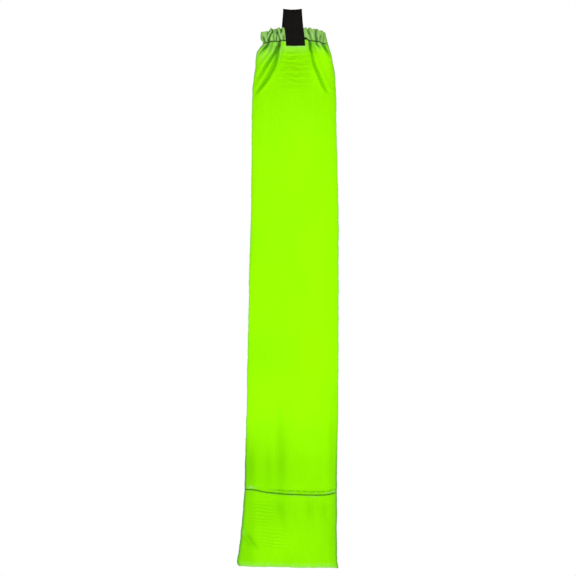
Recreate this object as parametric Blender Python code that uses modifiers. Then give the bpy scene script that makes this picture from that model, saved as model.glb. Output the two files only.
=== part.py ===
"""Windsock sleeve: a long nylon tube with an elastic-gathered mouth, a webbing
loop to hang it by and a deep hem at the tail.

It hangs straight down. +Z is up, X runs across the flat of the sleeve and the
front panel faces -Y. The origin is where a hook bears inside the top of the
webbing loop. Coordinates are in metres; the named sizes below are millimetres.

Bodies:   hang loop  -> sleeve (swings about X at the mouth)
          sleeve     -> tail hem (folds about X just under the hem stitching)
"""

import math

import bmesh
import bpy
from mathutils import Matrix, Vector

MM = 0.001

# ---------------------------------------------------------------- materials
CLOTH = 0.4          # panel thickness, drawn thicker than the real 0.15 mm nylon
CLEAR = 0.3          # clearance between neighbouring pieces
ELASTIC_THICK = 0.9
ELASTIC_HIGH = 12.0  # standard 12 mm braided elastic
WEBBING_WIDE = 25.0  # standard 25 mm webbing
WEBBING_THICK = 1.4
THREAD_R = 0.25

# ---------------------------------------------------------------- heights
LOOP_TOP_R = 4.3     # inner radius at the top of the loop
LOOP_SEAT = 3.0      # flat width at the very top, where a hook bears
LOOP_CROTCH = 21.4   # where the two legs of the loop close on each other
LOOP_END = 23.2      # lower end of the closed loop
SWING_AXIS = 24.6    # the webbing bends here
MOUTH_TOP = 26.1     # folded top edge of the casing
MOUTH_SEAM = 41.0    # stitch line under the elastic
CASING_END = 43.2    # raw edge of the casing inside
TAB_TOP, TAB_END = 26.6, 46.8   # the sewn part of each webbing leg
HEM_STITCH = 629.6   # stitch line at the top of the tail hem
FOLD_AXIS = 633.0    # the tail hem folds here
FOLD_SLOT = 2.2      # clearance above and below the fold axis
TAIL_END = 724.4     # folded bottom edge

# Width of the flat sleeve at a few heights below the origin, left and right.
WIDTH_AT = (
    (26.0, -40.5, 43.0),
    (43.0, -40.5, 43.8),
    (52.0, -44.5, 48.2),
    (66.0, -47.5, 52.0),
    (92.0, -50.5, 55.4),
    (125.0, -52.5, 56.5),
    (235.0, -53.4, 58.8),
    (308.0, -55.2, 59.8),
    (380.0, -56.8, 60.0),
    (458.0, -58.4, 59.6),
    (535.0, -59.9, 59.2),
    (625.0, -62.4, 57.6),
    (670.0, -66.0, 57.8),
    (716.0, -71.5, 58.3),
    (725.0, -71.5, 59.3),
)

# Half the depth of the sleeve, out to the cloth's outer face.
DEPTH_AT = (
    (26.0, 6.0),
    (43.0, 6.0),
    (66.0, 7.0),
    (125.0, 7.6),
    (235.0, 7.4),
    (380.0, 6.8),
    (535.0, 5.2),
    (600.0, 3.0),
    (628.0, 1.25),
    (636.0, 1.25),
    (668.0, 4.2),
    (725.0, 4.2),
)

SIDE_SLOPE = 9.0     # width over which each panel slopes down to a side seam
PINCH_FLAT = 13.6    # half width held flat under the webbing
PINCH_RAMP = 20.5    # half width at which the mouth is open to its full depth
PINCH_UNTIL = 47.5   # the pinch is full down to the end of the tabs
PINCH_GONE = 96.0
EDGE_Y = 0.42        # mid-plane of a panel where it meets its neighbour

ELASTIC_TURN = 1.2   # how far inside the side edge the elastic turns back

CASING_STEP = CLOTH + 2 * CLEAR + ELASTIC_THICK  # outer layer to inner layer
HEM_STEP = CLOTH + CLEAR
PINCH_MID = CLEAR / 2 + CLOTH / 2 + CASING_STEP  # outer layer's mid-plane there


# ---------------------------------------------------------------- shape rules
def between(table, depth, column):
    """Smooth reading of one column of a table at a height below the origin."""
    if depth <= table[0][0]:
        return table[0][column]
    for low, high in zip(table, table[1:]):
        if depth <= high[0]:
            t = (depth - low[0]) / (high[0] - low[0])
            return low[column] + (high[column] - low[column]) * t
    return table[-1][column]


def pinch(depth):
    """1 where the webbing holds front and back together, 0 where it is open."""
    if depth <= PINCH_UNTIL:
        return 1.0
    if depth >= PINCH_GONE:
        return 0.0
    t = (depth - PINCH_UNTIL) / (PINCH_GONE - PINCH_UNTIL)
    return 1.0 - t * t * (3 - 2 * t)


def columns(depth):
    """The x of each fold line of a panel at this depth, left to right."""
    left, right = between(WIDTH_AT, depth, 1), between(WIDTH_AT, depth, 2)
    return [
        left,
        left + SIDE_SLOPE,
        -PINCH_RAMP,
        -PINCH_FLAT,
        PINCH_FLAT,
        PINCH_RAMP,
        right - SIDE_SLOPE,
        right,
    ]


def panel_row(depth, step=0.0):
    """Mid-plane points (x, y) across half the sleeve at this depth, on the +Y
    side. step moves the layer inwards, as the turned-in cloth lies."""
    full = between(DEPTH_AT, depth, 1) - CLOTH / 2
    held = full + (PINCH_MID - full) * pinch(depth)
    slope = (full - EDGE_Y) / SIDE_SLOPE
    run = min(step * math.hypot(1, slope) / max(slope, 1e-6), 3.6) if step else 0.0
    xs = columns(depth)
    shift = min(run, SIDE_SLOPE * 0.45)
    xs[0] += shift
    xs[1] += shift * 0.45
    xs[-1] -= shift
    xs[-2] -= shift * 0.45
    ys = [EDGE_Y, full - step, full - step, held - step]
    return [(x, max(y, EDGE_Y if i in (0, 7) else 0.0)) for i, (x, y) in enumerate(zip(xs, ys + ys[::-1]))]


def turned_rows(depths_in, centre, radius, outward, step, depths_out, arc_steps=6):
    """Rows of a layer that comes along inside, folds round an edge and goes back
    outside. centre is the depth of the fold's centre, outward -1 for up."""
    rows = [[(x, y, -d) for x, y in panel_row(d, step)] for d in depths_in]
    inner, outer = panel_row(centre, step), panel_row(centre)
    for i in range(arc_steps + 1):
        a = math.pi * i / arc_steps
        share = (1 - math.cos(a)) / 2
        depth = centre + outward * radius * math.sin(a)
        rows.append(
            [
                (p[0] + (q[0] - p[0]) * share, p[1] + (q[1] - p[1]) * share, -depth)
                for p, q in zip(inner, outer)
            ]
        )
    rows += [[(x, y, -d) for x, y in panel_row(d)] for d in depths_out]
    return rows


# ---------------------------------------------------------------- builders
def clear_scene():
    for obj in list(bpy.data.objects):
        bpy.data.objects.remove(obj, do_unlink=True)
    for coll in list(bpy.data.collections):
        bpy.data.collections.remove(coll)


def material(name, colour, roughness, metallic=0.0):
    made = bpy.data.materials.new(name)
    made.use_nodes = True
    shader = made.node_tree.nodes["Principled BSDF"]
    shader.inputs["Base Color"].default_value = (*colour, 1.0)
    shader.inputs["Roughness"].default_value = roughness
    shader.inputs["Metallic"].default_value = metallic
    made.diffuse_color = (*colour, 1.0)
    return made


def axis_empty(name, depth, collection, parent=None):
    """An empty on a joint's axis, which runs along X."""
    empty = bpy.data.objects.new(name, None)
    empty.empty_display_type = "SINGLE_ARROW"
    empty.empty_display_size = 0.02
    empty.location = (0, 0, -depth * MM)
    if parent is not None:
        empty.location.z += -parent.matrix_world.translation.z
        empty.parent = parent
    collection.objects.link(empty)
    bpy.context.view_layer.update()
    return empty


def place(obj, collection, parent, mat):
    """Links an object built about its parent's axis."""
    collection.objects.link(obj)
    obj.parent = parent
    obj.data.materials.append(mat)
    return obj


def local(points, parent):
    """Millimetre points of the whole object as metres about the parent's axis."""
    base = parent.matrix_world.translation
    return [Vector(p) * MM - base for p in points]


def loft(name, rows, cyclic=False):
    """An open surface through rows of points, one quad between four neighbours."""
    bm = bmesh.new()
    grid = [[bm.verts.new(p) for p in row] for row in rows]
    for a, b in zip(grid, grid[1:]):
        count = len(a)
        for i in range(count if cyclic else count - 1):
            j = (i + 1) % count
            bm.faces.new((a[i], a[j], b[j], b[i]))
    bmesh.ops.recalc_face_normals(bm, faces=bm.faces)
    mesh = bpy.data.meshes.new(name)
    bm.to_mesh(mesh)
    bm.free()
    return bpy.data.objects.new(name, mesh)


def thicken(obj, thickness):
    solid = obj.modifiers.new("Thickness", "SOLIDIFY")
    solid.thickness = thickness * MM
    solid.offset = 0.0
    solid.use_even_offset = True
    solid.use_quality_normals = True
    return obj


def panel(name, rows, side, collection, parent, mat):
    """One layer of cloth. side is -1 for the front (-Y) and 1 for the back."""
    placed = [local([(x, y * side, z) for x, y, z in row], parent) for row in rows]
    return place(thicken(loft(name, placed), CLOTH), collection, parent, mat)


def thread(name, points, collection, parent, mat):
    """A row of stitching as one continuous thread lying on the cloth."""
    curve = bpy.data.curves.new(name, "CURVE")
    curve.dimensions = "3D"
    curve.bevel_depth = THREAD_R * MM
    curve.bevel_resolution = 2
    curve.use_fill_caps = True
    spline = curve.splines.new("POLY")
    placed = local(points, parent)
    spline.points.add(len(placed) - 1)
    for point, co in zip(spline.points, placed):
        point.co = (*co, 1.0)
    return place(bpy.data.objects.new(name, curve), collection, parent, mat)


def loop_outline(radius, seat, point_half, point_depth, end_depth):
    """A teardrop in (y, z): a round top with a short flat, straight legs that
    close towards the bottom. Millimetres, the arc's centre below the origin."""
    centre = -LOOP_TOP_R
    start = math.acos(min(1.0, seat / 2 / radius))
    steps = 9
    low = math.radians(-14)
    right = [
        (radius * math.cos(a), centre + radius * math.sin(a))
        for a in (start + (low - start) * i / steps for i in range(steps + 1))
    ]
    right[0] = (seat / 2, centre + radius)
    right.append((point_half, -point_depth))
    if end_depth > point_depth:
        right.append((point_half, -end_depth))
    left = [(-y, z) for y, z in reversed(right)]
    if point_half == 0:
        left = left[1:]
    return right + left


def webbing_loop(collection, parent, mat):
    curve = bpy.data.curves.new("webbing_loop", "CURVE")
    curve.dimensions = "2D"
    curve.fill_mode = "BOTH"
    curve.extrude = WEBBING_WIDE / 2 * MM
    outer = loop_outline(
        LOOP_TOP_R + WEBBING_THICK, LOOP_SEAT, WEBBING_THICK, LOOP_CROTCH - 1.4, LOOP_END
    )
    inner = loop_outline(LOOP_TOP_R, LOOP_SEAT, 0.0, LOOP_CROTCH, LOOP_CROTCH)
    for outline in (outer, inner):
        spline = curve.splines.new("POLY")
        spline.points.add(len(outline) - 1)
        for point, (y, z) in zip(spline.points, outline):
            point.co = (y * MM, z * MM, 0, 1)
        spline.use_cyclic_u = True
    obj = bpy.data.objects.new("webbing_loop", curve)
    # the outline's x, y and depth become the loop's y, z and x
    obj.rotation_euler = (math.pi / 2, 0, math.pi / 2)
    return place(obj, collection, parent, mat)


def webbing_tab(name, side, collection, parent, mat):
    """The sewn end of a leg of the webbing, flat against the casing."""
    mesh = bpy.data.meshes.new(name)
    bm = bmesh.new()
    bmesh.ops.create_cube(bm, size=1.0)
    bmesh.ops.scale(
        bm,
        vec=Vector((WEBBING_WIDE, WEBBING_THICK, TAB_END - TAB_TOP)) * MM,
        verts=bm.verts,
    )
    bm.to_mesh(mesh)
    bm.free()
    obj = bpy.data.objects.new(name, mesh)
    face = PINCH_MID + CLOTH / 2 + CLEAR + WEBBING_THICK / 2
    obj.location = local([(0, face * side, -(TAB_TOP + TAB_END) / 2)], parent)[0]
    bevel = obj.modifiers.new("Woven edge", "BEVEL")
    bevel.width = 0.35 * MM
    bevel.segments = 2
    return place(obj, collection, parent, mat)


def elastic_band(collection, parent, mat):
    """A closed ring of braided elastic inside the casing."""
    mid = CASING_STEP / 2
    rows = []
    for depth in (MOUTH_TOP + 1.9, MOUTH_TOP + 1.9 + ELASTIC_HIGH / 2, MOUTH_TOP + 1.9 + ELASTIC_HIGH):
        half = panel_row(depth, mid)
        half[0] = (between(WIDTH_AT, depth, 1) + ELASTIC_TURN, 0.0)
        half[-1] = (between(WIDTH_AT, depth, 2) - ELASTIC_TURN, 0.0)
        ring = half + [(x, -y) for x, y in reversed(half[1:-1])]
        rows.append(local([(x, y, -depth) for x, y in ring], parent))
    return place(
        thicken(loft("elastic_band", rows, cyclic=True), ELASTIC_THICK), collection, parent, mat
    )


def across(depth, side, inset, over_tab):
    """Points of a stitch row that runs from edge to edge at one depth."""
    row = panel_row(depth)
    lift = CLOTH / 2 + CLEAR + THREAD_R + 0.06
    over = PINCH_MID + CLOTH / 2 + CLEAR + WEBBING_THICK + CLEAR + THREAD_R
    points = []
    left, right = row[0][0] + inset, row[-1][0] - inset
    count = 48
    for i in range(count + 1):
        x = left + (right - left) * i / count
        for (x0, y0), (x1, y1) in zip(row, row[1:]):
            if x0 <= x <= x1:
                y = y0 + (y1 - y0) * (x - x0) / (x1 - x0) + lift
                break
        if over_tab and abs(x) < WEBBING_WIDE / 2 + 1.6:
            y = over
        points.append((x, y * side, -depth))
    return points


def down_edge(start, end, side, count):
    """Points of the seam thread along one side edge; side -1 is the left."""
    column = 1 if side < 0 else 2
    off = CLOTH / 2 + CLEAR + THREAD_R
    stops = [start + (end - start) * i / count for i in range(count + 1)]
    return [(between(WIDTH_AT, d, column) + side * off, 0.0, -d) for d in stops]


# ---------------------------------------------------------------- the object
def build():
    clear_scene()
    sock = bpy.data.collections.new("windsock_sleeve")
    bpy.context.scene.collection.children.link(sock)

    nylon = material("lime_nylon", (0.319, 1.0, 0.004), 0.42)
    black = material("black_webbing", (0.012, 0.011, 0.011), 0.85)
    white = material("white_elastic", (0.75, 0.75, 0.72), 0.8)
    dark_thread = material("dark_thread", (0.03, 0.09, 0.02), 0.7)

    loop_axis = axis_empty("hanging_point", 0.0, sock)
    swing = axis_empty("sock_swing_axis", SWING_AXIS, sock, loop_axis)
    fold = axis_empty("tail_fold_axis", FOLD_AXIS, sock, swing)

    webbing_loop(sock, loop_axis, black)

    # sleeve panels, each with its casing turned to the inside over the elastic
    arc = CASING_STEP / 2
    sleeve = turned_rows(
        depths_in=(CASING_END, 38.0, 33.0),
        centre=MOUTH_TOP + arc + CLOTH / 2,
        radius=arc,
        outward=-1,
        step=CASING_STEP,
        depths_out=(
            33.0, MOUTH_SEAM, PINCH_UNTIL, 52.0, 60.0, 66.0, 74.0, 84.0, PINCH_GONE,
            125.0, 180.0, 235.0, 308.0, 380.0, 458.0, 535.0, 570.0, 600.0,
            FOLD_AXIS - FOLD_SLOT,
        ),
    )
    panel("front_panel", sleeve, -1, sock, swing, nylon)
    panel("back_panel", sleeve, 1, sock, swing, nylon)
    elastic_band(sock, swing, white)
    webbing_tab("webbing_tab_front", -1, sock, swing, black)
    webbing_tab("webbing_tab_back", 1, sock, swing, black)
    for side, word in ((-1, "front"), (1, "back")):
        thread(f"mouth_stitch_{word}", across(MOUTH_SEAM, side, 3.0, True), sock, swing, dark_thread)
        thread(f"hem_stitch_{word}", across(HEM_STITCH, side, 3.0, False), sock, swing, dark_thread)
    for side, word in ((-1, "left"), (1, "right")):
        thread(
            f"side_seam_{word}",
            down_edge(MOUTH_TOP + 1.0, FOLD_AXIS - FOLD_SLOT - 0.6, side, 22),
            sock, swing, dark_thread,
        )

    # tail hem: the cloth comes down outside, folds and goes back up inside
    arc = HEM_STEP / 2
    tail = turned_rows(
        depths_in=(FOLD_AXIS + FOLD_SLOT, 650.0, 668.0, 695.0, 716.0),
        centre=TAIL_END - CLOTH / 2 - arc,
        radius=arc,
        outward=1,
        step=HEM_STEP,
        depths_out=(716.0, 695.0, 668.0, 650.0, FOLD_AXIS + FOLD_SLOT),
    )
    panel("tail_hem_front", tail, -1, sock, fold, nylon)
    panel("tail_hem_back", tail, 1, sock, fold, nylon)
    for side, word in ((-1, "left"), (1, "right")):
        thread(
            f"tail_seam_{word}",
            down_edge(FOLD_AXIS + FOLD_SLOT + 0.6, TAIL_END - 0.8, side, 8),
            sock, fold, dark_thread,
        )

    for obj in sock.objects:
        if obj.type == "MESH":
            obj.data.shade_smooth()
            obj.data.set_sharp_from_angle(angle=math.radians(35))


build()
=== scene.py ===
"""Looks of the windsock sleeve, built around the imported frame.

Lengths in the numbers below are millimetres in the row frame: X across the
sleeve, -Y towards the viewer, Z up from the hanging point. MM turns them into
metres where meshes are made.
"""

import math

import bpy
import numpy as np
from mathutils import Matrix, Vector


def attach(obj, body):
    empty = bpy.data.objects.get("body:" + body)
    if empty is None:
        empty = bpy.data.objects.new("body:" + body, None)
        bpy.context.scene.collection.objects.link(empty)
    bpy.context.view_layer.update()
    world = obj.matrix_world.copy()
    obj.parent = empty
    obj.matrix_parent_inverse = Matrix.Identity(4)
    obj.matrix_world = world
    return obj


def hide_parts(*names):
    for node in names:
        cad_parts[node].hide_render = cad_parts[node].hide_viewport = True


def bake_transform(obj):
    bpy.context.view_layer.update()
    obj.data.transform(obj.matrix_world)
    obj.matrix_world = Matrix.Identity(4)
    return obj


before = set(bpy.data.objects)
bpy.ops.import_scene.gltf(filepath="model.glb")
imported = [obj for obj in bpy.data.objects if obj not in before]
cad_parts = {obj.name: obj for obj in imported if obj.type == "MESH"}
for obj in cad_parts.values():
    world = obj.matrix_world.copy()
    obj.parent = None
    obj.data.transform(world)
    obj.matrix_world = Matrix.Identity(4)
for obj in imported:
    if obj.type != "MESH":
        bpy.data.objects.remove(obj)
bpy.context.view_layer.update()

MM = 0.001

CLOTH_T = 0.22      # nylon thickness that the meshes show
STRAP_T = 1.35
STRAP_W = 24.9


# ------------------------------------------------------------------ helpers
def smooth(t):
    t = np.clip(t, 0.0, 1.0)
    return t * t * (3 - 2 * t)


def curve_through(xs, ys):
    """A smooth monotone-ish reading through a few design points."""
    xs, ys = np.asarray(xs, float), np.asarray(ys, float)
    order = np.argsort(xs)
    xs, ys = xs[order], ys[order]
    slope = np.gradient(ys, xs)
    d = np.diff(ys) / np.diff(xs)
    for i in range(1, len(xs) - 1):
        if d[i - 1] * d[i] <= 0:
            slope[i] = 0.0
        else:
            slope[i] = 2 * d[i - 1] * d[i] / (d[i - 1] + d[i])

    def read(x):
        x = np.clip(np.asarray(x, float), xs[0], xs[-1])
        i = np.clip(np.searchsorted(xs, x) - 1, 0, len(xs) - 2)
        h = xs[i + 1] - xs[i]
        t = (x - xs[i]) / h
        return (
            ys[i] * (2 * t**3 - 3 * t**2 + 1)
            + slope[i] * h * (t**3 - 2 * t**2 + t)
            + ys[i + 1] * (-2 * t**3 + 3 * t**2)
            + slope[i + 1] * h * (t**3 - t**2)
        )

    return read


def lattice(seed, nx, ny):
    return np.random.RandomState(seed).uniform(-1, 1, (nx, ny))


def noise2(x, z, size_x, size_z, seed):
    """Smooth value noise, about -1 to 1."""
    grid = lattice(seed, 64, 64)
    a, b = np.asarray(x) / size_x + 900.37, np.asarray(z) / size_z + 1700.73
    i, j = np.floor(a).astype(int), np.floor(b).astype(int)
    s, t = a - i, b - j
    s, t = s * s * s * (s * (s * 6 - 15) + 10), t * t * t * (t * (t * 6 - 15) + 10)
    g = lambda p, q: grid[p % 64, q % 64]
    return (
        g(i, j) * (1 - s) * (1 - t)
        + g(i + 1, j) * s * (1 - t)
        + g(i, j + 1) * (1 - s) * t
        + g(i + 1, j + 1) * s * t
    )


def fbm(x, z, size_x, size_z, seed, octaves=3):
    total, amp = 0.0, 1.0
    for k in range(octaves):
        total = total + amp * noise2(x, z, size_x / 2**k, size_z / 2**k, seed + k)
        amp *= 0.5
    return total / 1.6


# ------------------------------------------------------------------ outline
# height, left edge, right edge of the cloth
OUTLINE = (
    (-22.0, -40.2, 41.6),
    (-27.0, -40.9, 42.3),
    (-33.0, -41.9, 43.3),
    (-38.0, -41.6, 44.4),
    (-43.1, -38.6, 45.4),
    (-45.2, -39.4, 46.2),
    (-50.0, -43.2, 47.8),
    (-56.0, -46.6, 49.9),
    (-65.0, -47.8, 51.9),
    (-74.0, -48.6, 53.6),
    (-90.0, -50.8, 55.9),
    (-104.0, -52.2, 56.3),
    (-125.0, -52.8, 56.8),
    (-182.0, -53.2, 57.9),
    (-235.0, -53.7, 59.2),
    (-300.0, -55.2, 60.0),
    (-377.0, -56.9, 60.1),
    (-455.0, -58.6, 59.7),
    (-533.0, -59.9, 59.3),
    (-572.0, -61.3, 58.6),
    (-611.0, -62.3, 57.8),
    (-624.0, -62.7, 57.6),
    (-645.0, -64.1, 57.6),
    (-668.0, -66.1, 57.8),
    (-690.0, -68.2, 57.9),
    (-704.0, -70.2, 58.0),
    (-712.0, -71.4, 58.2),
    (-717.5, -72.1, 58.5),
    (-720.4, -71.8, 58.8),
    (-722.3, -70.9, 59.2),
    (-723.5, -69.4, 59.5),
    (-726.0, -68.6, 59.8),
)
left_of = curve_through([o[0] for o in OUTLINE], [o[1] for o in OUTLINE])
right_of = curve_through([o[0] for o in OUTLINE], [o[2] for o in OUTLINE])

# half the depth of the sleeve
depth_of = curve_through(
    (-22, -33, -42, -52, -66, -100, -160, -260, -400, -520, -580, -612, -626, -640, -655, -680, -726),
    (5.2, 6.2, 5.3, 6.6, 7.4, 7.8, 7.4, 6.9, 6.2, 5.2, 4.2, 2.9, 1.75, 1.75, 2.6, 3.7, 3.9),
)

top_edge = curve_through(
    (-41, -33, -31.2, -28.8, -27.3, -26.0, -24.5, -23.3, -22.0, -19.5, -16.5, -14,
     0, 15.5, 18.2, 20.2, 22.8, 24.7, 26.3, 28.2, 30.0, 31.2, 33.0, 36.0, 38.2, 39.6, 41.2, 43.5),
    (-28.8, -28.4, -27.1, -24.8, -24.3, -25.3, -26.5, -25.9, -24.6, -24.3, -24.7, -23.9,
     -24.6, -24.2, -24.1, -24.6, -23.8, -24.4, -26.0, -25.9, -24.9, -24.8, -25.7, -27.4, -26.9, -27.4, -28.9, -30.4),
)
mouth_seam = curve_through(
    (-40, -37.5, -33.5, -31.2, -29.5, -26, -22, -18, -15, -12.4,
     0, 12, 17.5, 20.1, 22.1, 25.4, 28.6, 31.2, 35.1, 37.7, 40.3, 44.7),
    (-44.2, -43.6, -43.2, -42.8, -42.0, -41.5, -41.5, -41.6, -40.9, -40.2,
     -40.2, -38.9, -38.3, -39.3, -40.4, -40.5, -41.3, -41.8, -42.1, -43.1, -44.5, -44.1),
)
hem_line = curve_through(
    (-62, -51, -38, -23, -7, 6, 25, 39, 49, 57),
    (-623.6, -624.1, -626.6, -628.4, -629.8, -630.2, -630.9, -630.9, -629.6, -627.6),
)
tail_line = curve_through(
    (-67, -50, -20, 0, 30, 58), (-723.4, -724.2, -724.0, -724.7, -725.2, -725.8)
)


def tail_edge(x):
    return tail_line(x) + 0.32 * noise2(x, np.zeros_like(x), 5.5, 9.0, 61)




# ------------------------------------------------------------------ folds
class Fold:
    """A valley in the cloth with a soft ridge on each side, along a line of
    (x, z, depth, width) points."""

    def __init__(self, *points, ridge=0.35, skew=0.0, soft=(1.0, 1.0)):
        p = np.array(points, float)
        self.soft = soft
        self.z0, self.z1 = p[:, 1].max(), p[:, 1].min()
        self.x = curve_through(p[:, 1], p[:, 0])
        self.a = curve_through(p[:, 1], p[:, 2])
        self.w = curve_through(p[:, 1], p[:, 3])
        self.ridge, self.skew = ridge, skew

    def at(self, x, z, fade=3.0):
        t = (x - self.x(z)) / self.w(z)
        t = np.where(t < 0, t / self.soft[0], t / self.soft[1])
        inside = smooth((self.z0 + fade - z) / fade) * smooth((z - self.z1 + fade) / fade)
        valley = np.exp(-np.abs(t) ** 1.6)
        left = np.exp(-((t + 1.9) ** 2) / 1.4) * (1 + self.skew)
        right = np.exp(-((t - 1.9) ** 2) / 1.4) * (1 - self.skew)
        a = self.a(z) * inside
        return a * (self.ridge * (left + right) - valley), a * valley


CASING_FOLDS = (
    Fold((-38.3, -34.0, 0.6, 1.1), (-37.4, -37.0, 2.6, 1.3), (-36.0, -40.6, 2.6, 1.2), (-34.6, -43.0, 1.6, 1.1), soft=(1.3, 0.8)),
    Fold((-29.8, -26.6, 2.0, 1.1), (-31.0, -29.0, 2.6, 1.1), (-32.6, -31.6, 2.2, 1.1), (-32.8, -34.6, 0.5, 1.1), soft=(0.8, 1.2)),
    Fold((-26.0, -26.0, 1.8, 1.0), (-26.0, -29.6, 2.6, 1.1), (-28.5, -33.4, 2.3, 1.2), (-29.9, -37.0, 2.9, 1.3), (-31.0, -41.8, 2.4, 1.2), soft=(1.2, 0.8)),
    Fold((-24.2, -31.0, 0.6, 0.9), (-24.5, -34.5, 1.3, 1.0), (-24.6, -40.2, 1.2, 1.0)),
    Fold((-21.0, -25.4, 1.1, 1.1), (-20.8, -33.0, 1.1, 1.0), (-20.8, -38.4, 2.0, 1.0), (-20.6, -40.8, 1.0, 0.9)),
    Fold((-18.9, -28.5, 1.0, 0.9), (-18.3, -32.0, 3.0, 1.05), (-17.1, -36.4, 3.2, 1.1), (-15.9, -40.4, 2.7, 1.1), soft=(1.2, 0.9)),
    Fold((-15.2, -24.8, 3.0, 1.1), (-14.8, -28.0, 2.8, 1.1), (-15.1, -31.0, 1.4, 1.0), (-15.3, -32.6, 0.2, 1.0)),
    Fold((-11.8, -32.6, 0.6, 1.0), (-11.6, -36.6, 2.0, 1.1), (-11.8, -39.6, 1.0, 1.0)),
    Fold((19.4, -25.8, 2.2, 1.1), (20.8, -30.4, 2.7, 1.2), (22.1, -33.8, 2.0, 1.2), (23.6, -38.6, 1.8, 1.2), soft=(0.9, 1.4)),
    Fold((18.0, -37.2, 1.2, 1.2), (21.6, -40.2, 2.2, 1.2)),
    Fold((30.5, -25.4, 2.6, 1.2), (30.6, -33.0, 3.1, 1.3), (31.2, -38.0, 2.8, 1.3), (31.2, -41.4, 2.6, 1.3), soft=(1.1, 0.9)),
    Fold((38.1, -27.2, 1.6, 1.0), (38.0, -29.4, 0.4, 1.0)),
    Fold((36.6, -30.6, 0.5, 1.1), (36.2, -34.4, 1.8, 1.2), (35.6, -38.2, 2.9, 1.2), (36.0, -42.0, 1.8, 1.1), soft=(0.9, 1.1)),
    Fold((40.8, -30.6, 1.2, 1.1), (41.0, -36.0, 1.5, 1.1), (40.6, -40.0, 1.2, 1.0), (40.4, -43.6, 1.2, 1.0)),
)
BODY_FOLDS = (
    Fold(
        (-31.2, -43.0, 3.6, 1.4), (-32.8, -45.6, 4.2, 1.6), (-35.5, -49.4, 4.0, 1.9), (-40.6, -54.5, 2.2, 2.2),
        (-46.0, -61.0, 0.4, 2.4),
        soft=(0.9, 1.4),
    ),
    Fold(
        (-16.4, -41.5, 4.4, 1.3), (-16.8, -46.0, 5.4, 1.7), (-18.3, -50.8, 5.3, 2.0), (-19.2, -57.0, 4.3, 2.2),
        (-22.4, -71.0, 4.0, 2.5), (-30.6, -86.5, 3.8, 2.7), (-34.2, -92.2, 4.0, 2.7), (-38.0, -97.6, 4.0, 2.6),
        (-42.2, -103.0, 3.5, 2.5), (-47.2, -108.6, 2.0, 2.6), (-50.0, -113.0, 0.3, 2.6),
        ridge=0.40, skew=-0.1, soft=(1.35, 0.85),
    ),
    Fold(
        (-20.2, -48.5, 1.2, 1.5), (-22.4, -55.6, 3.6, 1.8), (-25.8, -60.9, 4.2, 2.1), (-29.0, -66.1, 4.0, 2.3),
        (-32.8, -71.3, 3.7, 2.5), (-36.4, -76.4, 3.1, 2.6), (-39.6, -81.6, 2.5, 2.7), (-43.2, -87.0, 1.8, 2.8),
        (-47.0, -94.0, 0.3, 3.0), ridge=0.55, soft=(1.3, 0.9),
    ),
    Fold((-26.0, -42.5, 1.7, 1.2), (-28.0, -49.0, 1.6, 1.6), (-33.0, -59.0, 0.3, 2.0), ridge=0.55),
    Fold(
        (21.6, -40.0, 4.4, 1.3), (22.4, -46.0, 5.0, 1.5), (22.6, -50.4, 4.8, 1.6), (24.2, -55.8, 3.6, 1.7),
        (25.4, -62.0, 3.0, 1.7), (28.0, -72.5, 3.7, 1.8), (32.4, -82.5, 3.5, 1.9), (37.4, -94.0, 3.1, 2.0),
        (41.8, -102.4, 2.4, 2.2), (45.4, -109.0, 0.5, 2.6),
        ridge=0.42, skew=0.15, soft=(0.85, 1.5),
    ),
    Fold(
        (38.8, -42.8, 5.0, 1.4), (40.3, -45.4, 5.8, 1.5), (42.8, -50.4, 5.0, 1.6), (46.6, -56.2, 2.9, 1.8),
        (49.8, -63.0, 0.5, 2.2),
        soft=(1.2, 0.9),
    ),
    Fold((30.8, -42.0, 2.6, 1.2), (31.6, -45.2, 3.0, 1.2), (33.0, -47.0, 2.8, 1.2), (35.0, -49.6, 1.6, 1.4), (37.4, -53.0, 0.2, 1.6), ridge=0.5),
    Fold((27.2, -41.0, 1.3, 1.4), (28.6, -50.0, 1.5, 2.4), (31.5, -60.0, 0.3, 3.4), ridge=0.2),
    Fold((-37.2, -43.5, 0.9, 1.0), (-40.0, -47.5, 1.1, 1.2), (-42.2, -51.0, 0.3, 1.4)),
)
LOWER_FOLDS = (
    Fold((-19.0, -470.0, 0.0, 7.0), (-16.0, -540.0, 1.3, 8.0), (-15.0, -590.0, 1.7, 8.0), (-16.0, -622.0, 0.7, 6.0)),
    Fold((-33.0, -545.0, 0.1, 5.0), (-31.5, -590.0, 0.9, 6.0), (-30.0, -622.0, 0.4, 5.0)),
    Fold((-52.5, -560.0, 0.2, 3.0), (-55.0, -590.0, 1.0, 3.4), (-56.5, -618.0, 0.4, 3.4)),
    Fold((50.0, -500.0, 0.1, 4.0), (50.5, -560.0, 1.0, 4.4), (50.5, -615.0, 0.8, 4.0)),
    Fold((-19.0, -634.0, 0.25, 4.0), (-13.5, -652.0, 1.3, 5.0), (-12.0, -680.0, 0.1, 6.0)),
    Fold((21.0, -634.0, 0.25, 3.5), (22.5, -648.0, 0.9, 4.5), (21.0, -670.0, 0.1, 6.0)),
    Fold((39.0, -634.0, 0.25, 3.5), (41.0, -648.0, 0.8, 3.5), (43.0, -672.0, 0.1, 5.0)),
    Fold((-66.0, -678.0, 0.4, 1.8), (-61.5, -688.0, 2.2, 2.3), (-52.0, -703.0, 0.2, 3.6), ridge=0.9, skew=-0.7),
    Fold((46.0, -650.0, 0.1, 5.0), (49.0, -685.0, 1.1, 4.5), (50.0, -715.0, 0.3, 4.0)),
    Fold((-62.0, -650.0, 0.2, 3.0), (-62.5, -700.0, 1.0, 5.0), (-62.0, -722.0, 0.4, 5.0)),
)


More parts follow.
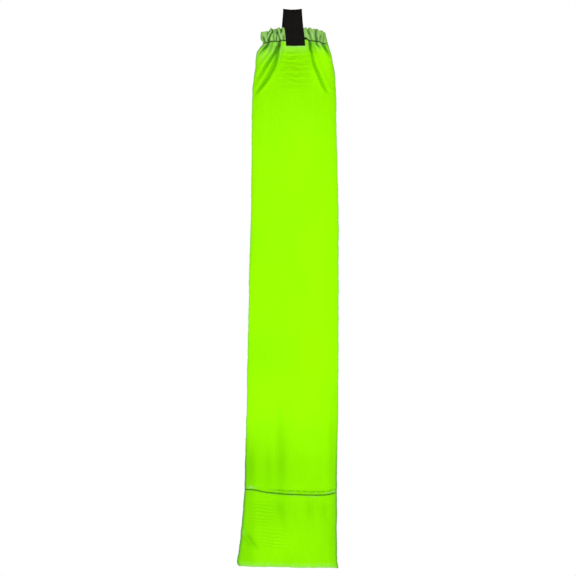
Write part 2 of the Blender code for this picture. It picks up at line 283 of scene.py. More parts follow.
# ------------------------------------------------------------------ one panel
def section(u, z, back):
    """x and outward y of the plain sleeve at across-share u, before folds."""
    lo, hi = left_of(z), right_of(z)
    mid, half = (lo + hi) / 2, (hi - lo) / 2
    x = mid + half * u
    lens = 1 - np.abs(u) ** 3.4
    y = depth_of(z) * lens
    # the webbing holds front and back together at the middle of the mouth
    centre = -1.2 if back else 3.0
    side = np.abs(x - centre)
    hold = smooth((25.0 - side) / 11.5) * smooth((z + 92.0) / 46.0)
    y = y + (np.minimum(y, 2.5) - y) * hold
    return x, y


def panel_fields(u, z, back):
    """Displacement outwards and the cavity shade."""
    x, y = section(u, z, back)
    # the back gathers in its own places
    sx = np.where(back, 2.6 - x * 0.93 + 1.7 * np.sin(x / 8.3 + 0.8), x)
    seed = 40 if back else 7
    edge = 1 - np.abs(u) ** 10
    d = np.zeros_like(x)
    cavity = np.zeros_like(x)
    above = smooth((z - mouth_seam(x) + 0.6) / 1.2)
    for f in CASING_FOLDS:
        h, c = f.at(sx, z, 1.5)
        d += h * above
        cavity += c * above
    for f in BODY_FOLDS:
        h, c = f.at(sx, z, 2.0)
        d += h * (1 - above)
        cavity += c * (1 - above) * (0.42 + 0.62 * np.exp(-np.maximum(0, mouth_seam(x) - z) / 10.0))
    for f in LOWER_FOLDS:
        h, c = f.at(sx, z, 12.0)
        d += h
        cavity += c * 0.30
    d *= edge
    # the elastic rounds the casing out and the stitching draws it in
    top, seam = top_edge(x), mouth_seam(x)
    t = np.clip((z - seam) / (top - seam), 0, 1)
    d += above * (1.35 * np.sin(math.pi * t) ** 0.8 - 0.1) * (1 - np.abs(u) ** 6)
    pull = np.exp(-(((z - seam) / 1.0) ** 2))
    under_strap = smooth((14.5 - np.abs(x - (-1.2 if back else 3.0))) / 3.0)
    d -= pull * 1.15 * edge * (1 - 0.6 * under_strap)
    cavity += pull * 0.5 * (1 - under_strap)
    # small gathers that run out of both stitch lines
    near = np.exp(-np.maximum(0, seam - z) / 9.0) * (z < seam)
    ruck = np.abs(noise2(sx, z * 0 + 3.1, 2.9, 50.0, seed)) ** 0.6 - 0.52
    gathers = ruck * near * 0.95
    fine = np.abs(noise2(sx + 0.30 * (z + 33), z, 3.5, 26.0, seed + 3)) ** 0.6 - 0.55
    gathers += above * fine * 1.15
    d += gathers * edge * (1 - under_strap)
    cavity += np.clip(-gathers, 0, 1) * 1.5 * (1 - under_strap)
    hem = hem_line(x)
    below = np.exp(-np.abs(z - hem) / 7.5) * (1 - np.exp(-(((z - hem) / 0.8) ** 2)))
    d += noise2(x, z * 0 + 9.7, 4.3, 60.0, seed + 5) * below * 0.34 * edge
    groove = np.exp(-(((z - hem) / 0.75) ** 2))
    d -= groove * 0.75 * edge
    cavity += groove * 0.4
    # the hem's turned edge shows through as a low step above the stitching
    step = smooth((hem + 4.3 - z) / 0.9) * smooth((z - hem - 0.4) / 1.0)
    d += step * 0.42 * edge
    # doubled cloth of the hem stands a little prouder than the single sleeve
    d += smooth((hem - 0.8 - z) / 1.6) * 0.28 * edge
    # broad slack of limp nylon, long in z, and finer ripples
    # faint crosswise ripples of the slack cloth under the strap
    wavy = z + 1.6 * noise2(x, z * 0 + 1.3, 13.0, 9.0, seed + 31) + 1.3 * np.abs((x - 2.0) / 14.0)
    under = np.exp(-(((x - 3.0) / 17.0) ** 2)) * smooth((-47.5 - z) / 8.0) * smooth((z + 112.0) / 40.0)
    d += (0.15 * np.sin(wavy * 2 * math.pi / 7.4) + 0.05 * np.sin(wavy * 2 * math.pi / 3.9)) * under
    body = smooth((seam - 14 - z) / 60.0) * (1 - 0.55 * np.exp(-(((z - hem) / 16.0) ** 2)))
    d += body * edge * 1.25 * fbm(sx, z, 30.0, 190.0, seed + 11)
    d += body * edge * 0.30 * fbm(sx, z, 9.0, 42.0, seed + 17)
    # seam pucker: short slanted ripples that die out within a centimetre
    for sign, lean in ((-1, 0.55), (1, -0.5)):
        inward = (1 - sign * u) * (right_of(z) - left_of(z)) / 2
        ripple = np.sin((z + lean * inward) * 2 * math.pi / 8.3 + 2.2 * noise2(z, z * 0, 23.0, 9.0, seed + 23))
        d += 0.30 * ripple * np.exp(-inward / 5.5) * (1 - np.exp(-inward / 1.0)) * smooth((-46 - z) / 8)
    return d, cavity


def rows_of(count_scale=1.0):
    """Rows down the cloth: (stage, share) pairs."""
    def n(k):
        return max(3, int(round(k * count_scale)))

    rows = [("in_casing", t) for t in np.linspace(0, 1, n(9), endpoint=False)]
    rows += [("lip", t) for t in np.linspace(0, 1, n(9), endpoint=False)]
    rows += [("casing", t) for t in np.linspace(0, 1, n(24), endpoint=False)]
    rows += [("throat", t) for t in np.linspace(0, 1, n(84), endpoint=False) ** 1.25]
    rows += [("body", t) for t in np.linspace(0, 1, n(112), endpoint=False)]
    rows += [("above_hem", t) for t in 1 - (1 - np.linspace(0, 1, n(22), endpoint=False)) ** 1.35]
    rows += [("hem", t) for t in np.linspace(0, 1, n(56), endpoint=False) ** 1.3]
    rows += [("tail_lip", t) for t in np.linspace(0, 1, n(6), endpoint=False)]
    rows += [("in_hem", t) for t in np.linspace(0, 1, n(14))]
    return rows


CASING_IN = 2.1      # from the outer layer to the turned-in one
THROAT_END, BODY_END = -112.0, -612.0


def cloth_points(u, rows, back):
    """Points of a panel's mid-surface, rows by columns, with its shade fields."""
    n = len(u)
    P = np.zeros((len(rows), n, 3))
    cav = np.zeros((len(rows), n))
    flat_v = np.zeros((len(rows), n))
    guess_x = (left_of(-33.0) + right_of(-33.0)) / 2 + (right_of(-33.0) - left_of(-33.0)) / 2 * u
    low_x = (left_of(-628.0) + right_of(-628.0)) / 2 + (right_of(-628.0) - left_of(-628.0)) / 2 * u
    end_x = (left_of(-723.0) + right_of(-723.0)) / 2 + (right_of(-723.0) - left_of(-723.0)) / 2 * u
    top, seam, hem, tail = top_edge(guess_x), mouth_seam(guess_x), hem_line(low_x), tail_edge(end_x)
    lip = CASING_IN / 2
    d_top, _ = panel_fields(u, top - lip - 1.0, back)
    top = top + np.clip(0.85 * (d_top - d_top.mean()), -2.0, 1.1) * (1 - np.abs(u) ** 12)
    for k, (stage, t) in enumerate(rows):
        inward, lift = 0.0, 0.0
        if stage == "in_casing":
            z = (seam - 1.6) * (1 - t) + (top - lip) * t
            inward = CASING_IN * (1 - 0.35 * (1 - t) ** 3)
        elif stage == "lip":
            z = (top - lip) + 0 * u
            a = math.pi * t
            inward = CASING_IN * (1 + math.cos(a)) / 2
            lift = lip * math.sin(a)
        elif stage == "casing":
            z = (top - lip) * (1 - t) + seam * t
        elif stage == "throat":
            z = seam * (1 - t) + THROAT_END * t
        elif stage == "body":
            z = THROAT_END * (1 - t) + BODY_END * t + 0 * u
        elif stage == "above_hem":
            z = BODY_END * (1 - t) + hem * t
        elif stage == "hem":
            z = hem * (1 - t) + (tail + 0.35) * t
        elif stage == "tail_lip":
            z = tail + 0.35 + 0 * u
            a = math.pi * t
            inward = 0.7 * (1 - math.cos(a)) / 2
            lift = -0.35 * math.sin(a)
        else:
            z = (tail + 0.35) * (1 - t) + (hem + 4.4) * t
            inward = 0.7
        x, y = section(u, z, back)
        d, c = panel_fields(u, z, back)
        room = 1 - np.abs(u) ** 8
        out = y + d
        out = out - inward * room
        close = 1 - np.abs(u) ** 8
        gap = CLOTH_T / 2 + 0.05 * close
        if stage in ("casing", "hem", "tail_lip"):
            gap = gap + 0.34 * close
        out = np.maximum(out, gap)
        # layers turned inside stop short of the side seam
        pinch = 1 - (0.030 if stage in ("in_casing",) else 0.012 if stage in ("in_hem",) else 0.0)
        mid = (left_of(z) + right_of(z)) / 2
        x = mid + (x - mid) * pinch
        P[k, :, 0], P[k, :, 1], P[k, :, 2] = x, out, z + lift
        cav[k], flat_v[k] = c, z
    return P, cav, flat_v


def edge_bumps(P, u, rows):
    """The overlocked side seams draw the edge in at every stitch."""
    z = P[:, :, 2]
    inward = (1 - np.abs(u))[None, :] * 57.0
    wave = 0.5 + 0.5 * np.cos(z * 2 * math.pi / 3.2)
    hand = np.where(u < 0, 0.0, 300.0)[None, :]
    slow = 0.30 * noise2(z + hand, z * 0 + 5.0, 9.0, 9.0, 91) + 0.34 * noise2(z + hand, z * 0 + 2.0, 31.0, 9.0, 93)
    P[:, :, 0] -= np.sign(u)[None, :] * (np.exp(-inward / 0.9) * 0.24 * wave + np.exp(-inward / 5.0) * slow)
    return P


def surface_paint(x, z, u, rows, back):
    """Where the casing's duller green and its painted sheen show, where seams darken
    with painted shade, where the cloth catches light in painted highlights, and the broad painted shade and tone of the
    nylon."""
    seed = 140 if back else 107
    stage = np.array([r[0] for r in rows])
    casing = np.isin(stage, ("in_casing", "lip", "casing")).astype(float)[:, None]
    throat = (stage == "throat").astype(float)[:, None]
    below = np.maximum(0, mouth_seam(x) - z)
    # painted sheen: the casing's duller, mintier green is partly its doubled, gathered cloth and partly painted sheen;
    # the patches just below the mouth seam and under the strap are painted grazing light
    streak = 0.62 + 0.38 * noise2(x + 0.55 * z * np.sign(-x), z, 3.4, 15.0, seed)
    left = np.exp(-((below / 15.0) ** 2)) * smooth((-12.0 - x) / 5.0) * 0.95
    right = np.exp(-((below / 8.5) ** 2)) * smooth((x - 17.0) / 4.0) * 0.85
    middle = np.exp(-(((z + 50.0) / 5.5) ** 2)) * smooth((20.0 - np.abs(x - 2.0)) / 6.0) * 0.20
    patch = throat * np.clip((left + right) * streak + middle, 0, 1)
    mint_sheen = np.clip(casing * (0.92 + 0.08 * streak) + patch, 0, 1)

    # painted shade along both side edges where the cloth turns away, over the darker line of the side seam; stronger
    # low down and on the left
    side = 1 - np.abs(u)[None, :]
    wide = (right_of(z) - left_of(z)) / 2
    low = smooth((-520 - z) / 90)
    weight = np.where(u[None, :] < 0, 0.26 + 0.74 * low, 0.20 + 0.62 * low) + 0.35 * smooth((z + 130) / 60)
    reach = 1.25 + 0.75 * low
    seam_line_and_edge_shade = (0.85 * np.exp(-((side * wide / reach) ** 2)) + 0.34 * np.exp(-((side * wide / 4.2) ** 2))) * np.clip(weight, 0, 1)
    hem, tail = hem_line(x), tail_edge(x)
    # painted shadow in the groove of the hem stitching and under the turned hem edge above it
    groove = np.exp(-(((z - hem) / 0.95) ** 2)) * (1 + 0.25 * noise2(x, z, 3.0, 50.0, seed + 2))
    turned_edge_shadow = np.exp(-(((z - hem - 4.7) / 0.75) ** 2)) * smooth((x + 31.0) / 12.0)
    groove = groove + 0.58 * turned_edge_shadow * np.clip(0.62 + 0.7 * noise2(x, z, 2.6, 50.0, seed + 12), 0, 1)
    # painted shade along the mouth seam where the stitching draws the cloth in, half as strong under the strap on the
    # front
    seam_dark = np.exp(-(((z - mouth_seam(x)) / 0.8) ** 2)) * (1 - (np.abs(x - 3.4) < 12.0) * (0.0 if back else 0.5))
    # painted highlight along the rounded bottom edge
    mint_sheen = np.clip(mint_sheen + 0.8 * np.exp(-(((z - tail) / 1.7) ** 2)), 0, 1)

    twinkle = np.clip(0.5 + noise2(x, z, 2.3, 2.6, seed + 4), 0, 1)
    ragged = np.clip(0.55 + 0.9 * noise2(x, z, 3.1, 1.7, seed + 14), 0, 1)
    glint = 0.85 * ragged * np.exp(-(((x + 54.5) / 5.2) ** 2) - ((z - hem - 3.2 - 0.12 * (x + 53)) / 1.9) ** 2)
    glint = glint + 0.8 * ragged * np.exp(-(((x - 51.5) / 5.0) ** 2) - ((z - hem - 1.9 - 0.05 * (x - 51)) / 1.2) ** 2)
    glint = glint + 0.30 * np.exp(-(((z - hem - 2.2) / 0.75) ** 2)) * smooth((x + 32.0) / 14.0) * np.clip(0.1 + 1.3 * noise2(x, z, 2.4, 40.0, seed + 21), 0, 1)
    glint = glint + 0.5 * np.exp(-(((z - hem + 1.6) / 0.6) ** 2)) * twinkle * (0.35 + 0.65 * smooth((x + 12.0) / 20.0))
    glint = glint + 0.30 * np.exp(-(((z - tail - 3.0) / 2.4) ** 2)) * twinkle
    # painted highlight along the crease low on the left, with painted shade beside it in the shade and tone below
    crease = (x + 65.0) - (-(z + 679.0)) * 0.62
    streak_low = np.exp(-((crease / 2.3) ** 2)) * smooth((-675 - z) / 5) * smooth((z + 700) / 12)
    glint = glint + 0.42 * np.exp(-(((crease - 0.6) / 1.7) ** 2)) * smooth((-672 - z) / 4) * smooth((z + 684) / 7)
    glint = glint + 0.9 * casing * np.clip(noise2(x * 1.0, z, 1.9, 9.0, seed + 6) - 0.05, 0, 1)
    glint = glint + 0.6 * np.exp(-(((below - 1.3) / 0.9) ** 2)) * throat * twinkle
    glint = glint + 0.75 * np.exp(-(((z + 48.4) / 0.7) ** 2)) * smooth((14.5 - np.abs(x - 4.0)) / 2.0) * (0.0 if back else 1.0)

    def hill(c, w, v):
        return np.exp(-(((v - c) / w) ** 2))

    # painted shade: darker near the top, towards the bottom, along the side edges, in bands over the low folds and just
    # above the hem stitching; the negative terms are painted light; the noise terms are random tone
    shade_and_tone = 0.115 * hill(-100, 42, z) + 0.085 * hill(-443, 28, z) * smooth((26 - x) / 30) + 0.05 * hill(-547, 18, z)
    shade_and_tone = shade_and_tone + 0.235 * smooth((-520 - z) / 78)
    shade_and_tone = shade_and_tone + 0.15 * smooth((-44 - x) / 12) * smooth((-535 - z) / 55)
    shade_and_tone = shade_and_tone + 0.12 * smooth((x - 44) / 9) * smooth((-470 - z) / 45)
    shade_and_tone = shade_and_tone + 0.105 * hill(-14, 8, x) * hill(-592, 46, z) + 0.07 * hill(-31, 5, x) * hill(-604, 28, z)
    shade_and_tone = shade_and_tone + 0.055 * smooth((-2 - x) / 22) * hill(-600, 34, z) + 0.07 * hill(-53, 6, x) * hill(-596, 30, z)
    shade_and_tone = shade_and_tone + 0.12 * (hill(-15, 8, x) + 0.8 * hill(22, 6, x) + 0.8 * hill(42, 6, x)) * hill(-647, 14, z)
    shade_and_tone = shade_and_tone - 0.12 * smooth((x - 20) / 8) * smooth((54 - x) / 8) * hill(-72, 26, z)
    shade_and_tone = shade_and_tone + 0.17 * smooth((x + 33.0) / 14.0) * smooth((z - hem - 0.6) / 0.9) * smooth((hem + 6.2 - z) / 1.6)
    shade_and_tone = shade_and_tone - 0.125 * hill(-14, 22, x) * hill(-692, 16, z)
    shade_and_tone = shade_and_tone - 0.05 * hill(28, 12, x) * smooth((-230 - z) / 60) * smooth((z + 500) / 60)
    shade_and_tone = shade_and_tone - 0.10 * streak_low + 0.19 * np.exp(-(((crease - 5.2) / 3.6) ** 2)) * smooth((-680 - z) / 6) * smooth((z + 708) / 14)
    shade_and_tone = shade_and_tone + 0.03 * smooth((-560 - z) / 40)
    shade_and_tone = shade_and_tone + 0.03 * noise2(x, z, 17.0, 46.0, seed + 8) * smooth((-110 - z) / 60)
    if back:
        shade_and_tone = shade_and_tone * 0.8 + 0.03 * noise2(x, z, 24.0, 70.0, seed + 9)
    # painted shade of fine crosswise ripples: under the strap and low on the left
    bars = hill(3, 19, x) * smooth((-47 - z) / 7) * smooth((z + 118) / 45)
    shade_and_tone = shade_and_tone - 0.045 * bars
    low_left = hill(-38, 17, x) * smooth((-636 - z) / 8) * smooth((z + 680) / 20)
    low_left = low_left + hill(-24, 17, x) * smooth((-672 - z) / 10) * smooth((z + 706) / 10)
    return {
        "mint_sheen": mint_sheen,
        "seam_line_and_edge_shade": seam_line_and_edge_shade,
        "groove": np.clip(groove, 0, 1),
        "dark_line": np.clip(seam_dark, 0, 1),
        "glint": np.clip(glint, 0, 1),
        "shade_and_tone": np.clip(shade_and_tone + 0.12, 0, 1),
        "bars": np.clip(bars, 0, 1),
        "low_bars": np.clip(low_left, 0, 1),
    }


def panel_mesh(name, back):
    cols = 136
    s = np.linspace(-1, 1, cols)
    u = np.sign(s) * (1 - (1 - np.abs(s)) ** 1.12)  # a little finer at the seams
    rows = rows_of()
    P, cav, _ = cloth_points(u, rows, back)
    P = edge_bumps(P, u, rows)
    P[:, :, 1] *= 1 if back else -1
    nr, nc = P.shape[:2]
    du, dv = np.gradient(P, axis=1), np.gradient(P, axis=0)
    N = np.cross(du, dv)
    N /= np.linalg.norm(N, axis=2, keepdims=True) + 1e-12
    out = P + N * CLOTH_T / 2
    inn = P - N * CLOTH_T / 2
    verts = np.concatenate([out.reshape(-1, 3), inn.reshape(-1, 3)]) * MM
    faces = []
    off = nr * nc
    idx = np.arange(off).reshape(nr, nc)
    a, b, c, d = idx[:-1, :-1], idx[:-1, 1:], idx[1:, 1:], idx[1:, :-1]
    outer = np.stack([a, b, c, d], -1).reshape(-1, 4)
    inner = np.stack([a, d, c, b], -1).reshape(-1, 4) + off
    rims = []
    for line in (idx[0, ::-1], idx[-1, :], idx[:, 0], idx[::-1, -1]):
        rims.append(np.stack([line[:-1], line[1:], line[1:] + off, line[:-1] + off], -1))
    faces = np.concatenate([outer, inner] + rims)
    # the outward side is the one that faces away from y = 0 on the sleeve
    mid = N[nr // 2, nc // 2, 1] * (1 if back else -1)
    if mid < 0:
        faces = faces[:, ::-1]
    mesh = bpy.data.meshes.new(name)
    mesh.from_pydata(verts.tolist(), [], faces.tolist())
    mesh.update()
    x, z = P[:, :, 0], P[:, :, 2]
    paint = surface_paint(x, z, u, rows, back)
    gathered = np.isin([r[0] for r in rows], ("in_casing", "lip", "casing"))[:, None]
    # painted shade in the casing's gathers, heavier on the left half and lighter on the right
    paint["cavity"] = np.clip(cav * (1 + gathered * np.where(x < 0, 0.16, -0.20)) + 0.07 * gathered * (x < 0), 0, 4)
    proud = np.abs(P[:, :, 1]) - np.abs(section(u, z, back)[1]) - 1.15
    paint["glint"] = np.clip(paint["glint"] + paint["mint_sheen"] * np.clip(proud / 1.2, 0, 1) * 0.55, 0, 1)
    for key, values in paint.items():
        put(mesh, key, np.tile(values.reshape(-1), 2))
    obj = bpy.data.objects.new(name, mesh)
    bpy.context.scene.collection.objects.link(obj)
    mesh.shade_smooth()
    return obj, P, u, rows


def put(mesh, name, values):
    attribute = mesh.attributes.new(name, "FLOAT", "POINT")
    attribute.data.foreach_set("value", np.asarray(values, np.float32))


# ------------------------------------------------------------------ surfaces to lay things on
class Surface:
    """Reads the y of a panel's outer face at x, z."""

    def __init__(self, P, rows):
        stage = [r[0] for r in rows]
        first = stage.index("casing")
        last = len(stage) - 1 - stage[::-1].index("hem")
        self.P = P[first : last + 1]
        self.Z = self.P[:, :, 2]
        self.back = self.P[:, :, 1].mean() > 0

    def y(self, x, z):
        """The outer face's y at a point, by the nearest cell."""
        u_guess = np.argmin(
            np.abs(self.P[:, :, 0] - x) + np.abs(self.Z - z), axis=None
        )
        i, j = np.unravel_index(u_guess, self.Z.shape)
        i = min(max(i, 1), self.Z.shape[0] - 2)
        j = min(max(j, 1), self.Z.shape[1] - 2)
        best = None
        for a in (i - 1, i):
            for b in (j - 1, j):
                p00, p10 = self.P[a, b], self.P[a + 1, b]
                p01, p11 = self.P[a, b + 1], self.P[a + 1, b + 1]
                s = np.clip((x - p00[0]) / max(p01[0] - p00[0], 1e-6), -0.2, 1.2)
                t = np.clip((z - p00[2]) / min(p10[2] - p00[2], -1e-6), -0.2, 1.2)
                off = abs(s - 0.5) + abs(t - 0.5)
                val = (p00[1] * (1 - s) + p01[1] * s) * (1 - t) + (p10[1] * (1 - s) + p11[1] * s) * t
                if best is None or off < best[0]:
                    best = (off, val)
        return best[1]


# ------------------------------------------------------------------ tubes
def tube_mesh(name, paths, radius, sides=8):
    """Closed capsule-ended tubes along paths of points, in one mesh."""
    verts, faces = [], []
    for path in paths:
        p = np.array(path, float)
        r = np.full(len(p), radius) if np.isscalar(radius) else np.asarray(radius, float)
        t = np.gradient(p, axis=0)
        t /= np.linalg.norm(t, axis=1, keepdims=True) + 1e-12
        up = np.array([0.0, 1.0, 0.0])
        if abs(t[0] @ up) > 0.9:
            up = np.array([1.0, 0.0, 0.0])
        base = len(verts)
        n = np.cross(t[0], up)
        n /= np.linalg.norm(n)
        taper = np.ones(len(p))
        taper[0] = taper[-1] = 0.45
        for k in range(len(p)):
            n = n - (n @ t[k]) * t[k]
            n /= np.linalg.norm(n) + 1e-12
            b = np.cross(t[k], n)
            for m in range(sides):
                a = 2 * math.pi * m / sides
                verts.append(p[k] + (n * math.cos(a) + b * math.sin(a)) * r[k] * taper[k])
        for k in range(len(p) - 1):
            for m in range(sides):
                q = (m + 1) % sides
                faces.append(
                    (base + k * sides + m, base + k * sides + q, base + (k + 1) * sides + q, base + (k + 1) * sides + m)
                )
        for k, turn in ((0, 1), (len(p) - 1, -1)):
            tip = len(verts)
            verts.append(p[k] - t[k] * turn * r[k] * 0.35)
            for m in range(sides):
                q = (m + 1) % sides
                ring = base + k * sides
                faces.append((ring + q, ring + m, tip) if turn == 1 else (ring + m, ring + q, tip))
    mesh = bpy.data.meshes.new(name)
    mesh.from_pydata((np.array(verts) * MM).tolist(), [], faces)
    mesh.update()
    mesh.shade_smooth()
    obj = bpy.data.objects.new(name, mesh)
    bpy.context.scene.collection.objects.link(obj)
    return obj


def stitch_paths(points, normals, length, gap, lift, sink, jitter=0.0, seed=1):
    """Separate stitches along a line: each rises out of the cloth, lies on it
    and goes back in."""
    rng = np.random.RandomState(seed)
    p, n = np.array(points, float), np.array(normals, float)
    seg = np.linalg.norm(np.diff(p, axis=0), axis=1)
    s = np.concatenate([[0], np.cumsum(seg)])
    at = lambda q, arr: np.array([np.interp(q, s, arr[:, k]) for k in range(3)])
    paths, q = [], gap
    while q + length < s[-1]:
        own = length * (1 + jitter * rng.uniform(-1, 1))
        side = rng.uniform(-1, 1) * jitter * 0.25
        path = []
        for t, h in ((0.0, -sink), (0.06, 0.1 * lift), (0.2, lift), (0.5, lift * 1.15), (0.8, lift), (0.94, 0.1 * lift), (1.0, -sink)):
            base, nn = at(q + own * t, p), at(q + own * t, n)
            nn = nn / (np.linalg.norm(nn) + 1e-9)
            path.append(base + nn * h + np.array([0, 0, side * math.sin(math.pi * t)]))
        paths.append(path)
        q += own + gap
    return paths


# ------------------------------------------------------------------ materials
def new_material(name):
    m = bpy.data.materials.new(name)
    m.use_nodes = True
    nt = m.node_tree
    return m, nt, nt.nodes["Principled BSDF"]


class Nodes:
    def __init__(self, nt):
        self.nt = nt

    def make(self, kind, **inputs):
        node = self.nt.nodes.new(kind)
        for key, value in inputs.items():
            if hasattr(node, key) and key not in ("color",):
                setattr(node, key, value)
        return node

    def value(self, op, a, b=None, clamp=False):
        node = self.nt.nodes.new("ShaderNodeMath")
        node.operation, node.use_clamp = op, clamp
        self.feed(node.inputs[0], a)
        if b is not None:
            self.feed(node.inputs[1], b)
        return node.outputs[0]

    def feed(self, socket, value):
        if isinstance(value, bpy.types.NodeSocket):
            self.nt.links.new(value, socket)
        else:
            socket.default_value = value

    def mix(self, fac, a, b, blend="MIX"):
        node = self.nt.nodes.new("ShaderNodeMix")
        node.data_type, node.blend_type = "RGBA", blend
        self.feed(node.inputs[0], fac)
        self.feed(node.inputs[6], a)
        self.feed(node.inputs[7], b)
        return node.outputs[2]

    def attribute(self, name):
        node = self.nt.nodes.new("ShaderNodeAttribute")
        node.attribute_name = name
        return node.outputs["Fac"]

    def coords(self, scale=(1, 1, 1), rotation=(0, 0, 0)):
        tc = self.nt.nodes.new("ShaderNodeTexCoord")
        mp = self.nt.nodes.new("ShaderNodeMapping")
        mp.inputs["Scale"].default_value = scale
        mp.inputs["Rotation"].default_value = rotation
        self.nt.links.new(tc.outputs["Object"], mp.inputs["Vector"])
        return mp.outputs["Vector"]

    def noise(self, vector, scale, detail=2.0, rough=0.5):
        node = self.nt.nodes.new("ShaderNodeTexNoise")
        self.feed(node.inputs["Vector"], vector)
        node.inputs["Scale"].default_value = scale
        node.inputs["Detail"].default_value = detail
        node.inputs["Roughness"].default_value = rough
        return node.outputs["Fac"]

    def wave(self, vector, scale, direction="X", distortion=0.0, profile="SIN", detail=0.0):
        node = self.nt.nodes.new("ShaderNodeTexWave")
        node.wave_type, node.bands_direction, node.wave_profile = "BANDS", direction, profile
        self.feed(node.inputs["Vector"], vector)
        node.inputs["Scale"].default_value = scale
        node.inputs["Distortion"].default_value = distortion
        node.inputs["Detail Scale"].default_value = 1.5
        node.inputs["Detail"].default_value = detail
        return node.outputs["Fac"]

    def range(self, value, a, b, c, d):
        node = self.nt.nodes.new("ShaderNodeMapRange")
        self.feed(node.inputs["Value"], value)
        for key, v in (("From Min", a), ("From Max", b), ("To Min", c), ("To Max", d)):
            node.inputs[key].default_value = v
        return node.outputs["Result"]


def bands(mm):
    """The wave texture's scale that repeats every so many millimetres."""
    return 2 * math.pi / (20.0 * mm * MM)


def nylon_material():
    m, nt, bsdf = new_material("Lime_Nylon_Taffeta")
    k = Nodes(nt)
    here = k.coords()
    lime = (0.347, 1.0, 0.0, 1)
    deep = (0.100, 0.46, 0.0, 1)
    mint_sheen = (0.300, 0.540, 0.150, 1)
    pale = (0.400, 0.700, 0.245, 1)
    # broad painted shade and tone, then crosswise bars of painted shade from fine ripples
    cloud = k.noise(k.coords(scale=(1, 1, 0.35)), 16.0, 2.0, 0.5)
    shade_and_tone = k.value("ADD", k.attribute("shade_and_tone"), k.range(cloud, 0.35, 0.68, -0.02, 0.03))
    bars = k.wave(k.coords(), bands(7.4), "Z", 5.5, "SIN", 2.0)
    close = k.wave(k.coords(), bands(3.9), "Z", 3.6, "SIN", 2.0)
    bars = k.value("ADD", k.value("MULTIPLY", bars, 0.24), k.value("MULTIPLY", close, 0.13))
    shade_and_tone = k.value("ADD", shade_and_tone, k.value("MULTIPLY", bars, k.attribute("bars")))
    # painted shade of slanted ripples low on the left
    slant = k.wave(k.coords(rotation=(0, -0.10, 0)), bands(4.4), "Z", 2.8, "SIN", 1.5)
    shade_and_tone = k.value("ADD", shade_and_tone, k.value("MULTIPLY", k.value("MULTIPLY", slant, 0.16), k.attribute("low_bars")))
    fine = k.wave(k.coords(), bands(2.6), "Z", 2.5, "SIN", 1.0)
    shade_and_tone = k.value("ADD", shade_and_tone, k.value("MULTIPLY", fine, 0.018))
    # the yarns: crosswise ribs with the lengthwise yarns going over and under
    rib = k.wave(here, bands(0.62), "Z")
    yarn = k.wave(here, bands(0.55), "X")
    weave = k.value("ADD", k.value("MULTIPLY", rib, 0.6), k.value("MULTIPLY", k.value("MULTIPLY", rib, yarn), 0.4))
    shade_and_tone = k.value("ADD", shade_and_tone, k.range(weave, 0.0, 0.6, 0.05, 0.0))
    colour = k.mix(k.value("MINIMUM", k.value("MAXIMUM", shade_and_tone, 0.0), 1.0), lime, deep)
    # mask of the casing's doubled cloth and its painted sheen, with painted grazing light below the seam and at the
    # bottom edge
    casing = k.attribute("mint_sheen")
    colour = k.mix(k.value("MULTIPLY", casing, 0.92), colour, mint_sheen)
    # deep folds take in less light and give back a darker green
    shade = k.range(k.attribute("cavity"), 0.12, 2.3, 0.0, 0.94)
    fold_dark = k.mix(casing, (0.095, 0.40, 0.0, 1), (0.014, 0.070, 0.014, 1))
    colour = k.mix(shade, colour, fold_dark)
    colour = k.mix(k.value("MULTIPLY", k.attribute("glint"), 0.78), colour, pale)
    # painted shadow in the hem stitching's groove and under the turned edge
    colour = k.mix(k.value("MULTIPLY", k.attribute("groove"), 0.96), colour, (0.052, 0.245, 0.003, 1))
    # painted shade along the mouth seam
    colour = k.mix(k.value("MULTIPLY", k.attribute("dark_line"), 0.88), colour, (0.040, 0.125, 0.025, 1))
    # the side seams' darker line and painted shade where the cloth turns away
    colour = k.mix(k.value("MULTIPLY", k.attribute("seam_line_and_edge_shade"), 0.95), colour, (0.085, 0.290, 0.020, 1))
    k.feed(bsdf.inputs["Base Color"], colour)
    speck = k.noise(here, 900.0, 2.0, 0.6)
    k.feed(bsdf.inputs["Roughness"], k.range(speck, 0.3, 0.7, 0.46, 0.60))
    bsdf.inputs["Specular IOR Level"].default_value = 0.03
    bsdf.inputs["Specular Tint"].default_value = (0.6, 1.0, 0.3, 1)
    bsdf.inputs["Sheen Weight"].default_value = 0.0
    # a faint self-glow: painted light standing in for the dye's fluorescence
    bsdf.inputs["Emission Color"].default_value = (0.34, 1.0, 0.0, 1)
    bsdf.inputs["Emission Strength"].default_value = 0.04
    bump = nt.nodes.new("ShaderNodeBump")
    bump.inputs["Strength"].default_value = 0.35
    bump.inputs["Distance"].default_value = 0.00012
    k.feed(bump.inputs["Height"], weave)
    crinkle = nt.nodes.new("ShaderNodeBump")
    crinkle.inputs["Strength"].default_value = 0.3
    crinkle.inputs["Distance"].default_value = 0.0006
    k.feed(crinkle.inputs["Height"], k.noise(k.coords(scale=(1, 1, 0.5)), 160.0, 3.0, 0.55))
    nt.links.new(crinkle.outputs["Normal"], bump.inputs["Normal"])
    nt.links.new(bump.outputs["Normal"], bsdf.inputs["Normal"])
    return m


